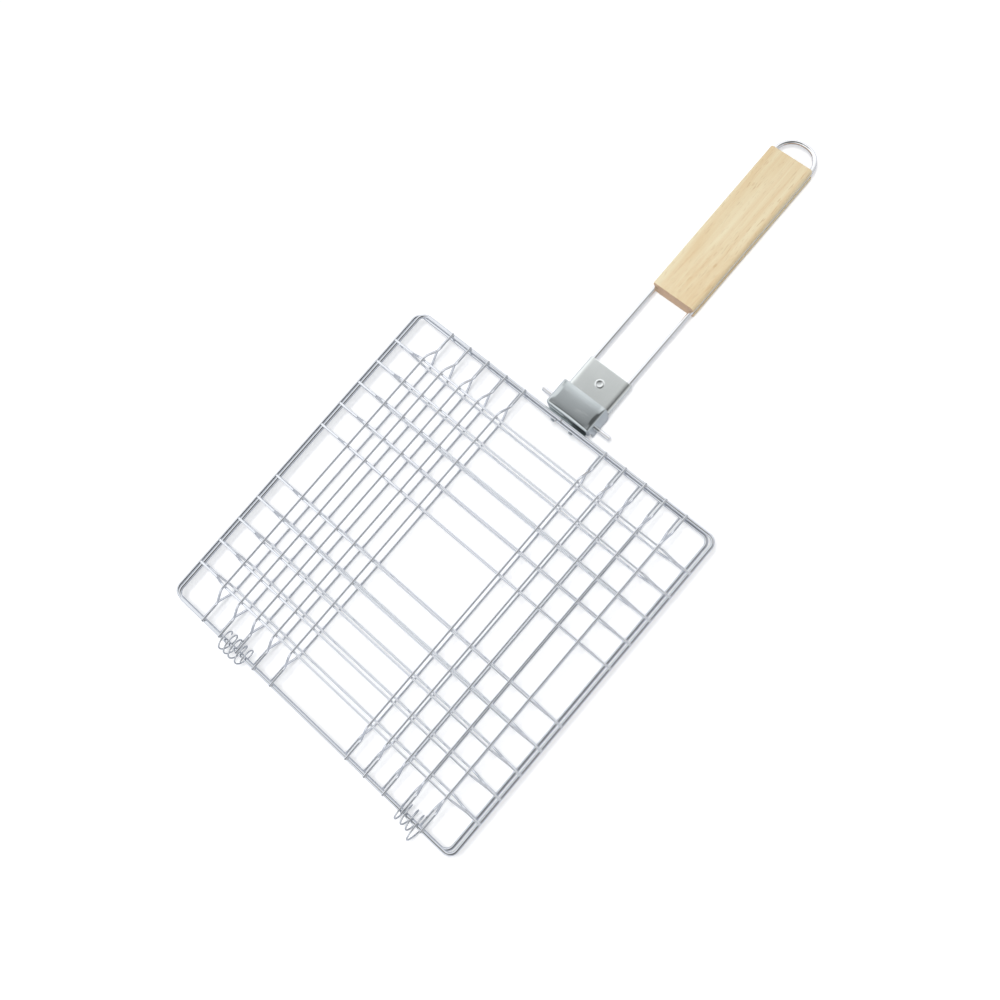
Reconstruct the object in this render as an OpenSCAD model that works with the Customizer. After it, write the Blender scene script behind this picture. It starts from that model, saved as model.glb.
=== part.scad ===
// Hinged wire grill basket with a folding handle.
// Millimetres. X runs along the hinge, +Y points to the handle, +Z is up.
// The basket stands on its lower long wires at Z = 0.

/* [Basket] */
// Outer width of a panel's frame, along the hinge
basket_w = 302; // [270:1:360]
// Outer length of the upper panel's frame, from hinge side to handle side
basket_l = 301.5; // [270:0.5:360]
// Height that the mesh stands off the level of its own wire ends
mesh_depth = 11.5; // [9:0.5:14]
// How far the lower panel's handle side lies inside the upper one's
bottom_setback = 1.8; // [1.4:0.1:3]
// How far the lower panel lies to -X of the upper one, as the loose hinges allow
bottom_shift = 4.4; // [4.2:0.1:5]

/* [Wire] */
// Diameter of the frame wire
frame_wire_d = 3; // [2.6:0.1:3.6]
// Diameter of the mesh wires
mesh_wire_d = 2; // [1.6:0.1:2.4]
// Diameter of the wire of the hinge coils
coil_wire_d = 1.3; // [1:0.1:1.5]
// Diameter of the handle wire
handle_wire_d = 3.8; // [3.2:0.1:4.2]
// Centre-line radius of a frame's corners
frame_corner_r = 7; // [5:0.5:10]
// How far a mesh wire's end reaches past the centre of the frame wire
wire_overhang = 1.4; // [0.8:0.1:1.8]

/* [Mesh] */
// Wires in each of the two groups of a panel, in each direction
group_count = 5; // [5:1:6]
// Spacing of the long wires within a group
long_pitch = 19.4; // [17:0.1:21]
// Gap between the two groups of long wires
long_gap = 82.4; // [66:0.1:96]
// Spacing of the cross wires within a group
cross_pitch = 22.6; // [19:0.1:24]
// Gap between the two groups of cross wires
cross_gap = 54.4; // [46:0.1:64]
// How far the mesh lies to +X of the middle of its frame
mesh_shift = 2.4; // [0:0.1:2.6]
// Centre-line radius of the bends in a mesh wire
joggle_bend_r = 6; // [4:0.5:7]
// Length over which a mesh wire steps out from the frame to the mesh
joggle_run = 11.7; // [10:0.1:12]

/* [Hinge coils] */
// Centre-line radius of a coil
coil_r = 7.9; // [7.8:0.1:9]
// Pitch of the left coil's close turns
left_coil_pitch = 5.4; // [5.2:0.1:5.6]
// Length of the left coil past the long wire that it steps over
left_coil_tail = 8.5; // [6:0.5:12]

/* [Bracket] */
// Outer width of the bracket
bracket_w = 42.6; // [40.6:0.1:60]
// Outer depth of the bracket, from its front wall to its open back
bracket_l = 23.5; // [20:0.5:30]
// Outer height of the bracket
bracket_h = 22.2; // [20:0.1:23]
// Gap between the upper frame wire and the bracket's front wall
bracket_gap = 2; // [1.6:0.1:8]
// Sheet thickness of the bracket
bracket_t = 1.2; // [0.8:0.1:1.6]
// Outer radius of the bracket's folds
fold_r = 2.4; // [2:0.1:3]
// Height of the bracket's lower edge above the surface that the basket stands on
bracket_foot = 1; // [0.5:0.1:2]
// Radius of the lower back corners of the bracket's sides, which the sleeve passes as the handle folds
bracket_corner_r = 4; // [4:0.5:6]
// Width of each of the two tabs that hold the lower frame wire
tab_w = 3; // [2:0.5:6]
// Distance between the middles of those tabs
tab_spread = 18; // [12:0.5:28]

/* [Handle] */
// Distance from the bracket's front wall to the axis of the pins
pin_setback = 9.5; // [8:0.5:12]
// Length that a pin stands out of the bracket's side
pin_out = 13; // [8:0.5:20]
// Length of handle wire between the bracket's back and the grip
neck_l = 105; // [80:1:160]
// Width of the grip
grip_w = 40; // [39:0.5:60]
// Length of the grip
grip_l = 147.5; // [110:0.5:190]
// Thickness of the grip
grip_t = 15.6; // [10:0.1:16]
// Radius of the grip's long edges
grip_edge_r = 2.6; // [1:0.1:3]
// Radius of the grip's corners, seen from above
grip_corner_r = 3.5; // [1:0.1:6]

/* [Lock sleeve] */
// Length of the rolled part of the sleeve
sleeve_l = 28.5; // [20:0.5:50]
// Length of the flat tongue that reaches under the bracket
tongue_l = 11; // [8:0.5:12]
// Sheet thickness of the sleeve
sleeve_t = 0.9; // [0.6:0.1:1]
// Diameter of the rivet's head
rivet_head_d = 8; // [6:0.5:10]
// Diameter of the rivet's shank
rivet_d = 3.2; // [2.5:0.1:4]

/* [Fits] */
// Gap left at each welded crossing, so that the wires stay separate solids
weld_gap = 0.03; // [0.02:0.01:0.06]
// Gap between the two closed panels
lid_gap = 0.3; // [0.2:0.05:0.6]
// Running clearance round a pin in its hole
pin_clearance = 0.2; // [0.1:0.05:0.3]
// Clearance between the sleeve and the handle wire
sleeve_clearance = 0.3; // [0.2:0.05:0.4]
// Clearance between the handle wire and the bracket's side walls
leg_clearance = 0.45; // [0.3:0.05:0.8]
// Clearance between the handle wire and its groove in the grip
groove_clearance = 0.05; // [0.02:0.01:0.1]
// Clearance along X between a coil and a wire that swings past it
coil_clearance = 0.2; // [0.15:0.05:0.4]

/* [Hidden] */
wire_count = 2 * group_count;
frame_wire_r = frame_wire_d / 2;
mesh_wire_r = mesh_wire_d / 2;
coil_wire_r = coil_wire_d / 2;
handle_wire_r = handle_wire_d / 2;

// Heights of the wires' centres
bottom_mesh_z = mesh_wire_r;
bottom_end_z = bottom_mesh_z + mesh_depth;
bottom_frame_z = bottom_end_z + mesh_wire_r + frame_wire_r + weld_gap;
top_frame_z = bottom_frame_z + frame_wire_d + lid_gap;
top_end_z = top_frame_z + mesh_wire_r + frame_wire_r + weld_gap;
top_mesh_z = top_end_z + mesh_depth;
// Where two mesh wires cross, one lies this much nearer the frame
layer_step = mesh_wire_d + weld_gap;

// Frame and mesh lie as far to either side of the bracket's middle
frame_x = -mesh_shift / 2;
mesh_x = mesh_shift / 2;

// Frame wire centre lines
frame_half_x = basket_w / 2 - frame_wire_r;
hinge_y = -(basket_l / 2 - frame_wire_r);
top_handle_y = -hinge_y;
bottom_handle_y = top_handle_y - bottom_setback;

// Bracket, measured from the upper frame wire
bracket_front_y = top_handle_y + frame_wire_r + bracket_gap;
bracket_back_y = bracket_front_y + bracket_l;
bracket_top_z = bracket_foot + bracket_h;
pin_y = bracket_front_y + pin_setback;
pin_z = grip_t / 2 + bracket_foot;
pin_tip_x = bracket_w / 2 + pin_out;
// The tightest bend of the handle wire, between a pin and its leg
pin_bend_r = handle_wire_r + 0.4;
leg_x = bracket_w / 2 - bracket_t - leg_clearance - handle_wire_r;
// The front wall stops level with the shelf that carries the lower frame wire
shelf_top_z = bottom_frame_z - frame_wire_r - weld_gap;
// The shelf's tabs curl up round the inner side of that wire, to this height above its centre
tab_inner_r = frame_wire_r + weld_gap;
tab_outer_r = tab_inner_r + bracket_t;
tab_rise = 0.6 * tab_inner_r;

grip_start_y = bracket_back_y + neck_l;
grip_end_y = grip_start_y + grip_l;

// Sleeve, seated on the handle wire and just behind the bracket
sleeve_gap = 1;
sleeve_start_y = bracket_back_y + sleeve_gap;
sleeve_end_y = sleeve_start_y + sleeve_l;
sleeve_inner_r = handle_wire_r + sleeve_clearance;
sleeve_outer_r = sleeve_inner_r + sleeve_t;
rivet_y = (sleeve_start_y + sleeve_end_y) / 2;
rivet_head_h = 0.8;

// A coil may step past a wire of the upper panel only over these angles, in
// which no open position of that panel brings the wire. 0 is +Y, 90 is up.
step_start_a = 240;
step_end_a = 390;
// A wire of the lower panel crosses the coils at this angle
lower_cross_a = -20;
swing_room = mesh_wire_r + coil_wire_r + coil_clearance;
coil_facets = 8;
coil_ring_a = 24;

// A wire's straight runs are a hair thinner than its bends and lap into them,
// so that the pieces always join
run_inset = 0.02;
run_lap = 0.2;

wire_steel = "silver";
sheet_steel = "darkgray";
beech = "burlywood";

// Offset of wire i, 1 to wire_count, from the middle of its panel
function wire_offset(i, pitch, gap) =
    i <= group_count
        ? -gap / 2 - (group_count - i) * pitch
        : gap / 2 + (i - group_count - 1) * pitch;
// Long wires are counted from -X, cross wires from the handle side
function long_x(i) = mesh_x + wire_offset(i, long_pitch, long_gap);
function cross_y(i) = -wire_offset(i, cross_pitch, cross_gap);

// Half the length of a mesh wire's raised middle. It ends clear of the outermost
// wire that crosses it.
joggle_setback = joggle_bend_r * tan(atan2(mesh_depth, joggle_run) / 2);
raised_half_x = mesh_x - long_x(1) + mesh_wire_r + joggle_setback;
raised_half_y = cross_y(1) + mesh_wire_r + joggle_setback;

function arc_points(centre, r, from, to, steps) =
    [for (k = [0:steps]) centre + r * [cos(from + (to - from) * k / steps), sin(from + (to - from) * k / steps)]];

// ---- Bent wire: straight runs and true bends, in the XZ plane or the XY plane ----

function heading(a, b) = atan2(b[1] - a[1], b[0] - a[0]);
// Turn at a corner, from -180 to 180
function turn_at(a, b, c) = let (t = heading(b, c) - heading(a, b)) t > 180 ? t - 360 : t < -180 ? t + 360 : t;
function setback_at(a, b, c, bend_r) = bend_r * tan(abs(turn_at(a, b, c)) / 2);

// A straight run of round wire in the XY plane, from a to b
module straight_wire(a, b, wire_r) {
    translate([a[0], a[1], 0])
        rotate([0, 0, heading(a, b)])
            rotate([0, 90, 0])
                cylinder(r = wire_r, h = norm(b - a), $fn = 32);
}

// A bend of round wire in the XY plane, at corner b between a and c
module bent_corner(a, b, c, bend_r, wire_r) {
    turn = turn_at(a, b, c);
    side = turn > 0 ? 1 : -1;
    start = b - setback_at(a, b, c, bend_r) * [cos(heading(a, b)), sin(heading(a, b))];
    centre = start + side * bend_r * [-sin(heading(a, b)), cos(heading(a, b))];
    first = turn > 0 ? heading(a, b) - 90 : heading(b, c) + 90;
    translate([centre[0], centre[1], 0])
        rotate([0, 0, first])
            rotate_extrude(angle = abs(turn), $fn = 96)
                translate([bend_r, 0])
                    circle(r = wire_r, $fn = 32);
}

// Open wire through the corners of a path in the XY plane. bends[i] is the radius at corner i.
module wire_path(path, bends, wire_r) {
    last = len(path) - 1;
    trims = [for (i = [0:last])
        i == 0 || i == last ? 0 : setback_at(path[i - 1], path[i], path[i + 1], bends[i])];
    for (i = [0:last - 1]) {
        along = (path[i + 1] - path[i]) / norm(path[i + 1] - path[i]);
        start = path[i] + along * (trims[i] - (i == 0 ? 0 : run_lap));
        end = path[i + 1] - along * (trims[i + 1] - (i + 1 == last ? 0 : run_lap));
        straight_wire(start, end, wire_r - run_inset);
    }
    for (i = [1:last - 1]) {
        bent_corner(path[i - 1], path[i], path[i + 1], bends[i], wire_r);
    }
}

// Closed rectangle of wire with round corners, centred on the origin
module wire_rectangle(half_x, half_y, corner_r, wire_r) {
    centre_x = half_x - corner_r;
    centre_y = half_y - corner_r;
    run_x = centre_x + run_lap;
    run_y = centre_y + run_lap;
    for (side = [-1, 1]) {
        straight_wire([-run_x, side * half_y], [run_x, side * half_y], wire_r - run_inset);
        straight_wire([side * half_x, -run_y], [side * half_x, run_y], wire_r - run_inset);
    }
    for (quarter = [0:3]) {
        translate([quarter == 0 || quarter == 3 ? centre_x : -centre_x, quarter < 2 ? centre_y : -centre_y, 0])
            rotate([0, 0, 90 * quarter])
                rotate_extrude(angle = 90, $fn = 96)
                    translate([corner_r, 0])
                        circle(r = wire_r, $fn = 32);
    }
}

// Mesh wire that runs along X from a to b, with both ends on the frame and the middle raised
module mesh_wire(a, b, raised_half, rise) {
    bend_r = joggle_bend_r;
    path = [
        [a, 0],
        [-raised_half - joggle_run, 0],
        [-raised_half, rise],
        [raised_half, rise],
        [raised_half + joggle_run, 0],
        [b, 0]
    ];
    rotate([90, 0, 0])
        wire_path(path, [0, bend_r, bend_r, bend_r, bend_r, 0], mesh_wire_r);
}

// Everything is drawn from the middle of the upper panel and moved by this, which
// puts the origin under the middle of the whole object
module placed() {
    coil_back_y = hinge_y - coil_r - coil_wire_r;
    loop_end_y = grip_end_y + leg_x + handle_wire_r;
    translate([(bottom_shift + mesh_shift) / 2, -(coil_back_y + loop_end_y) / 2, 0])
        children();
}

// ---- Panels ----

module long_wire(x, end_z, handle_y, rise) {
    translate([x, 0, end_z])
        rotate([0, 0, 90])
            mesh_wire(hinge_y - wire_overhang, handle_y + wire_overhang, raised_half_y, rise);
}

module cross_wire(shift_x, y, end_z, rise) {
    reach = frame_half_x + wire_overhang;
    translate([mesh_x + shift_x, y, end_z])
        mesh_wire(-mesh_shift - reach, reach - mesh_shift, raised_half_x, rise);
}

module panel_frame(shift_x, handle_y, z) {
    translate([frame_x + shift_x, (handle_y + hinge_y) / 2, z])
        wire_rectangle(frame_half_x, (handle_y - hinge_y) / 2, frame_corner_r, frame_wire_r);
}

module top_frame() {
    color(wire_steel) placed() panel_frame(0, top_handle_y, top_frame_z);
}

module bottom_frame() {
    color(wire_steel) placed() panel_frame(-bottom_shift, bottom_handle_y, bottom_frame_z);
}

module top_long_wire(i) {
    color(wire_steel) placed() long_wire(long_x(i), top_end_z, top_handle_y, mesh_depth);
}

module top_cross_wire(i) {
    color(wire_steel) placed() cross_wire(0, cross_y(i), top_end_z, mesh_depth - layer_step);
}

module bottom_long_wire(i) {
    color(wire_steel) placed() long_wire(long_x(i) - bottom_shift, bottom_end_z, bottom_handle_y, -mesh_depth);
}

module bottom_cross_wire(i) {
    color(wire_steel) placed() cross_wire(-bottom_shift, cross_y(i), bottom_end_z, layer_step - mesh_depth);
}

// ---- Hinge coils: wire wound round both frame wires ----

// Point on a coil's centre line at angle a, where stations is a list of [angle, x]
function coil_point(a, stations) =
    [lookup(a, stations), hinge_y + coil_r * cos(a), bottom_frame_z + coil_r * sin(a)];

// Ring of vertices round the coil's wire at angle a
function coil_ring(a, stations) =
    let (
        ahead = coil_point(a + 1, stations),
        behind = coil_point(a - 1, stations),
        along = (ahead - behind) / norm(ahead - behind),
        outward = [0, cos(a), sin(a)],
        across = cross(along, outward)
    )
    [for (k = [0:coil_facets - 1])
        coil_point(a, stations)
            + coil_wire_r * (cos(360 * k / coil_facets) * outward + sin(360 * k / coil_facets) * across / norm(across))];

module coil(stations) {
    first_a = stations[0][0];
    last_a = stations[len(stations) - 1][0];
    ring_count = ceil((last_a - first_a) / coil_ring_a);
    rings = [for (j = [0:ring_count]) coil_ring(first_a + (last_a - first_a) * j / ring_count, stations)];
    n = coil_facets;
    sides = [for (j = [0:ring_count - 1], k = [0:n - 1])
        let (here = j * n + k, next = j * n + (k + 1) % n)
        each [[here, next, next + n], [here, next + n, here + n]]];
    caps = [
        [for (k = [0:n - 1]) n - 1 - k],
        [for (k = [0:n - 1]) ring_count * n + k]
    ];
    polyhedron(points = [for (ring = rings) each ring], faces = concat(sides, caps));
}

// The left coil starts beside one upper wire and steps over the next.
// It passes the lower panel's wire on that wire's hinge side.
module hinge_coil_left() {
    start_x = long_x(2) + swing_room;
    stepped_x = long_x(3);
    lower_x = stepped_x - bottom_shift;
    close_turn = (step_start_a - lower_cross_a) / 360 * left_coil_pitch;
    step_x = lower_x - swing_room + close_turn;
    end_x = stepped_x + left_coil_tail;
    landing_x = stepped_x + swing_room;
    color(wire_steel) placed() coil([
        [step_start_a - (step_x - start_x) / left_coil_pitch * 360, start_x],
        [step_start_a, step_x],
        [step_end_a, landing_x],
        [step_end_a + (end_x - landing_x) / left_coil_pitch * 360, end_x]
    ]);
}

// The right coil steps over an upper wire half a turn after its start. Its pitch
// puts the lower panel's last wire midway between two turns.
module hinge_coil_right() {
    stepped_x = long_x(wire_count - 1);
    start_x = stepped_x - bottom_shift + swing_room;
    take_off_x = stepped_x - swing_room;
    landing_x = stepped_x + swing_room;
    end_x = long_x(wire_count) - swing_room;
    turns_to_wire = 1.5 + (360 + lower_cross_a - (step_end_a - 360)) / 360;
    pitch = (long_x(wire_count) - bottom_shift - landing_x) / turns_to_wire;
    color(wire_steel) placed() coil([
        [step_start_a - 170, start_x],
        [step_start_a, take_off_x],
        [step_end_a, landing_x],
        [step_end_a + (end_x - landing_x) / pitch * 360, end_x]
    ]);
}

// ---- Bracket: folded sheet, open below and behind ----

// Rectangle from (x0, y0) to (x1, y1) with its two upper corners rounded
function arch_points(x0, y0, x1, y1, r) = concat(
    [[x0, y0], [x1, y0]],
    arc_points([x1 - r, y1 - r], r, 0, 90, 6),
    arc_points([x0 + r, y1 - r], r, 90, 180, 6)
);

// Block with folded upper edges and a folded front, from inset inside the bracket's outside
module bracket_block(inset, r, low_z, back_y) {
    half_w = bracket_w / 2 - inset;
    front_y = bracket_front_y + inset;
    top_z = bracket_top_z - inset;
    intersection() {
        // Seen from behind: side walls and top
        translate([0, back_y, 0])
            rotate([90, 0, 0])
                linear_extrude(height = back_y - front_y)
                    polygon(arch_points(-half_w, low_z, half_w, top_z, r));
        // Seen from above: round front corners
        mirror([0, 1, 0])
            translate([0, 0, low_z])
                linear_extrude(height = top_z - low_z)
                    polygon(arch_points(-half_w, -back_y, half_w, -front_y, r));
        // Seen from the side: round front edge of the top
        translate([-half_w, 0, 0])
            rotate([90, 0, 90])
                linear_extrude(height = 2 * half_w)
                    polygon(concat(
                        [[front_y, low_z], [back_y, low_z], [back_y, top_z]],
                        arc_points([front_y + r, top_z - r], r, 90, 180, 6)
                    ));
    }
}

module handle_bracket() {
    hole_r = handle_wire_r + pin_clearance;
    shelf_half_w = bracket_w / 2 - fold_r;
    cut = 1;
    color(sheet_steel) placed()
        difference() {
            union() {
                difference() {
                    bracket_block(0, fold_r, bracket_foot, bracket_back_y);
                    bracket_block(bracket_t, fold_r - bracket_t, bracket_foot - cut, bracket_back_y + cut);
                    // Below the shelf the front is open, so that the handle folds under
                    translate([-bracket_w / 2 - cut, bracket_front_y - cut, bracket_foot - cut])
                        cube([bracket_w + 2 * cut, bracket_t + fold_r + cut, shelf_top_z - bracket_t - bracket_foot + cut]);
                }
                // Shelf that reaches forward under the lower frame wire
                translate([-shelf_half_w, bottom_handle_y, shelf_top_z - bracket_t])
                    cube([2 * shelf_half_w, bracket_front_y + bracket_t - bottom_handle_y, bracket_t]);
                // Tabs round the inner side of that wire
                for (side = [-1, 1]) {
                    translate([side * tab_spread / 2 - tab_w / 2, bottom_handle_y, bottom_frame_z])
                        intersection() {
                            rotate([0, 90, 0])
                                cylinder(r = tab_outer_r, h = tab_w, $fn = 64);
                            translate([0, -tab_outer_r, -tab_outer_r])
                                cube([tab_w, tab_outer_r, tab_outer_r + tab_rise]);
                        }
                }
            }
            // Room for the lower frame wire
            translate([-shelf_half_w - cut, bottom_handle_y, bottom_frame_z])
                rotate([0, 90, 0])
                    cylinder(r = tab_inner_r, h = 2 * (shelf_half_w + cut), $fn = 64);
            // Rounded lower back corners
            translate([-bracket_w / 2 - cut, bracket_back_y - bracket_corner_r, bracket_foot + bracket_corner_r])
                rotate([90, 0, 90])
                    linear_extrude(height = bracket_w + 2 * cut)
                        difference() {
                            translate([0, -bracket_corner_r - cut])
                                square(bracket_corner_r + cut);
                            circle(r = bracket_corner_r, $fn = 64);
                        }
            // Pin holes
            translate([-bracket_w / 2 - cut, pin_y, pin_z])
                rotate([0, 90, 0])
                    cylinder(r = hole_r, h = bracket_w + 2 * cut, $fn = 64);
        }
}

// ---- Handle ----

// One wire: pin, leg, hanging loop, leg, pin
module handle_wire() {
    path = [
        [-pin_tip_x, pin_y],
        [-leg_x, pin_y],
        [-leg_x, grip_end_y + leg_x],
        [leg_x, grip_end_y + leg_x],
        [leg_x, pin_y],
        [pin_tip_x, pin_y]
    ];
    // The loop is a half circle but for a short straight run between its two bends
    loop_flat = 2;
    loop_r = leg_x - loop_flat / 2;
    color(wire_steel) placed()
        translate([0, 0, pin_z])
            wire_path(path, [0, pin_bend_r, loop_r, loop_r, pin_bend_r, 0], handle_wire_r);
}

function round_rect_points(half_x, half_y, r) = concat(
    arc_points([half_x - r, half_y - r], r, 0, 90, 5),
    arc_points([-half_x + r, half_y - r], r, 90, 180, 5),
    arc_points([-half_x + r, -half_y + r], r, 180, 270, 5),
    arc_points([half_x - r, -half_y + r], r, 270, 360, 5)
);

// Beech block with a groove along each side for the handle wire
module wooden_grip() {
    groove_r = handle_wire_r + groove_clearance;
    cut = 1;
    middle_y = (grip_start_y + grip_end_y) / 2;
    color(beech) placed()
        difference() {
            intersection() {
                translate([0, grip_end_y, pin_z])
                    rotate([90, 0, 0])
                        linear_extrude(height = grip_l)
                            polygon(round_rect_points(grip_w / 2, grip_t / 2, grip_edge_r));
                translate([0, middle_y, pin_z - grip_t / 2])
                    linear_extrude(height = grip_t)
                        polygon(round_rect_points(grip_w / 2, grip_l / 2, grip_corner_r));
            }
            for (side = [-1, 1]) {
                translate([side * leg_x, grip_start_y - cut, pin_z])
                    rotate([-90, 0, 0])
                        cylinder(r = groove_r, h = grip_l + 2 * cut, $fn = 64);
                translate([side > 0 ? leg_x : -grip_w / 2 - cut, grip_start_y - cut, pin_z - groove_r])
                    cube([grip_w / 2 + cut - leg_x, grip_l + 2 * cut, 2 * groove_r]);
            }
        }
}

// ---- Lock sleeve ----

// Sheet laid over both legs and rolled round them, with a flat tongue in front
module lock_sleeve() {
    cut = 1;
    plate_z = pin_z + sleeve_inner_r;
    color(sheet_steel) placed()
        difference() {
            union() {
                translate([-leg_x, sleeve_start_y - tongue_l, plate_z])
                    cube([2 * leg_x, tongue_l + sleeve_l, sleeve_t]);
                for (side = [-1, 1]) {
                    translate([side * leg_x, sleeve_start_y, pin_z])
                        difference() {
                            rotate([-90, 0, 0])
                                cylinder(r = sleeve_outer_r, h = sleeve_l, $fn = 64);
                            translate([0, -cut, 0])
                                rotate([-90, 0, 0])
                                    cylinder(r = sleeve_inner_r, h = sleeve_l + 2 * cut, $fn = 64);
                            // The roll is open on the side that faces the other leg
                            translate([side > 0 ? -sleeve_outer_r - cut : 0, -cut, -sleeve_outer_r - cut])
                                cube([sleeve_outer_r + cut, sleeve_l + 2 * cut, sleeve_outer_r + cut + sleeve_inner_r]);
                        }
                }
            }
            translate([0, rivet_y, plate_z - cut])
                cylinder(d = rivet_d + 2 * groove_clearance, h = sleeve_t + 2 * cut, $fn = 48);
        }
}

// Dished rivet through the middle of the sleeve
module sleeve_rivet() {
    plate_z = pin_z + sleeve_inner_r;
    head_r = rivet_head_d / 2;
    tail_h = 0.6;
    tail_r = 0.6 * head_r;
    dish_r = 0.55 * head_r;
    cut = 0.01;
    color(wire_steel) placed()
        translate([0, rivet_y, 0])
            difference() {
                union() {
                    translate([0, 0, plate_z + sleeve_t])
                        cylinder(r1 = head_r, r2 = head_r - rivet_head_h / 2, h = rivet_head_h, $fn = 64);
                    // The shank reaches into both the head and the tail
                    translate([0, 0, plate_z - tail_h / 2])
                        cylinder(d = rivet_d, h = sleeve_t + tail_h, $fn = 48);
                    translate([0, 0, plate_z - tail_h])
                        cylinder(r = tail_r, h = tail_h, $fn = 48);
                }
                translate([0, 0, plate_z + sleeve_t])
                    cylinder(r1 = dish_r / 2, r2 = dish_r, h = rivet_head_h + cut, $fn = 48);
            }
}

top_frame();
bottom_frame();
for (i = [1:wire_count]) {
    top_long_wire(i);
    top_cross_wire(i);
    bottom_long_wire(i);
    bottom_cross_wire(i);
}
hinge_coil_left();
hinge_coil_right();
handle_bracket();
handle_wire();
lock_sleeve();
sleeve_rivet();
wooden_grip();
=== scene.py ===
import math

import bmesh
import bpy
from mathutils import Matrix, Vector


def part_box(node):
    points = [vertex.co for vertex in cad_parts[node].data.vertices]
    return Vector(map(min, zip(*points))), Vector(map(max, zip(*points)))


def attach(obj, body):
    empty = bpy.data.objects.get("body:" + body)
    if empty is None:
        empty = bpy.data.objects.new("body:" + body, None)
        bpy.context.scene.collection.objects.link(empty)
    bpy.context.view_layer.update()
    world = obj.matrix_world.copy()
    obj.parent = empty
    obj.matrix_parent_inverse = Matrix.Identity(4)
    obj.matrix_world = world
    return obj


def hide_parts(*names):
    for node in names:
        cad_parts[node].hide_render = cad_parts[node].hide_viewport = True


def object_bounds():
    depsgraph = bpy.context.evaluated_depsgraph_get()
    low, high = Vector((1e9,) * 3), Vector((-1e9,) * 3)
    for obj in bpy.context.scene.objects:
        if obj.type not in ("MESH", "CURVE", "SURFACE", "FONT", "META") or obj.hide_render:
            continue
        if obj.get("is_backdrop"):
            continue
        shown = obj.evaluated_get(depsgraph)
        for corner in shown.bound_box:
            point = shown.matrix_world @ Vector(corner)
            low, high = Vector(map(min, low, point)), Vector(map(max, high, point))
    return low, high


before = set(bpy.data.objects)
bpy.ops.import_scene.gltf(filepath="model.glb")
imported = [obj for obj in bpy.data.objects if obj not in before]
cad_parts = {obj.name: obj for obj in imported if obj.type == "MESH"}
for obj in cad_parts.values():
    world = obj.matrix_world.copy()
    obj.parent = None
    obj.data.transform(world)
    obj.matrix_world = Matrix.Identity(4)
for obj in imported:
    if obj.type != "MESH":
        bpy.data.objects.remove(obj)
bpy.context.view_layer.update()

# A hinged wire grill basket with a folding handle. Metres: X runs along the
# hinge, +Y points to the handle and +Z is up.
MM = 0.001


# ---- Node graphs ----

class Value:
    """A node's output socket. Arithmetic on it adds Math nodes."""

    def __init__(self, graph, socket):
        self.graph = graph
        self.socket = socket

    def math(self, operation, *others, clamp=False):
        inputs = dict(enumerate((self, *others)))
        return self.graph.add("ShaderNodeMath", {"operation": operation, "use_clamp": clamp}, inputs)

    def __add__(self, other):
        return self.math("ADD", other)

    def __sub__(self, other):
        return self.math("SUBTRACT", other)

    def __rsub__(self, other):
        return (self * -1) + other

    def __mul__(self, other):
        return self.math("MULTIPLY", other)

    def __truediv__(self, other):
        return self.math("DIVIDE", other)

    __radd__ = __add__
    __rmul__ = __mul__

    def clamped(self):
        return self.math("ADD", 0.0, clamp=True)

    def between(self, low, high):
        """0 at low and 1 at high, smooth in between."""
        inputs = {"Value": self, "From Min": low, "From Max": high}
        return self.graph.add("ShaderNodeMapRange", {"interpolation_type": "SMOOTHSTEP"}, inputs)


class Graph:
    """A node tree with one way to add a node."""

    def __init__(self, tree):
        self.tree = tree

    def add(self, kind, settings=None, inputs=None, output=0):
        node = self.tree.nodes.new(kind)
        for name, value in (settings or {}).items():
            if name == "items":
                for _ in range(value - len(node.index_switch_items)):
                    node.index_switch_items.new()
            else:
                setattr(node, name, value)
        for name, value in (inputs or {}).items():
            if isinstance(value, Value):
                self.tree.links.new(value.socket, node.inputs[name])
            else:
                node.inputs[name].default_value = value
        return Value(self, node.outputs[output]) if node.outputs else node

    # Shader graphs
    def noise(self, place, scale, detail=2.0, roughness=0.5, distortion=0.0):
        inputs = {
            "Vector": place, "Scale": scale, "Detail": detail,
            "Roughness": roughness, "Distortion": distortion,
        }
        return self.add("ShaderNodeTexNoise", None, inputs, "Fac")

    def object_place(self, stretch=(1, 1, 1), turn=(0, 0, 0), shift=(0, 0, 0)):
        place = self.add("ShaderNodeTexCoord", output="Object")
        inputs = {"Vector": place, "Scale": stretch, "Rotation": turn, "Location": shift}
        return self.add("ShaderNodeMapping", None, inputs)

    def colour_mix(self, share, first, second):
        # The colour sockets of this node are found by number
        return self.add("ShaderNodeMix", {"data_type": "RGBA"}, {0: share, 6: first, 7: second}, 2)

    def bump(self, height, distance, strength=1.0):
        return self.add("ShaderNodeBump", None, {"Height": height, "Distance": distance, "Strength": strength})


def rgb(red, green, blue):
    return (red, green, blue, 1.0)


def new_material(name):
    material = bpy.data.materials.new(name)
    material.use_nodes = True
    material.node_tree.nodes.clear()
    return material, Graph(material.node_tree)


def finish_material(graph, shader):
    graph.add("ShaderNodeOutputMaterial", None, {"Surface": shader})


def geometry_graph(name, inputs):
    """A Geometry Nodes tree with named inputs, as a Graph and a dict of its input values."""
    tree = bpy.data.node_groups.new(name, "GeometryNodeTree")
    tree.interface.new_socket(name="Geometry", in_out="OUTPUT", socket_type="NodeSocketGeometry")
    for label, kind in inputs.items():
        tree.interface.new_socket(name=label, in_out="INPUT", socket_type="NodeSocket" + kind)
    graph = Graph(tree)
    entry = tree.nodes.new("NodeGroupInput")
    return graph, {label: Value(graph, entry.outputs[label]) for label in inputs}


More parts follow.
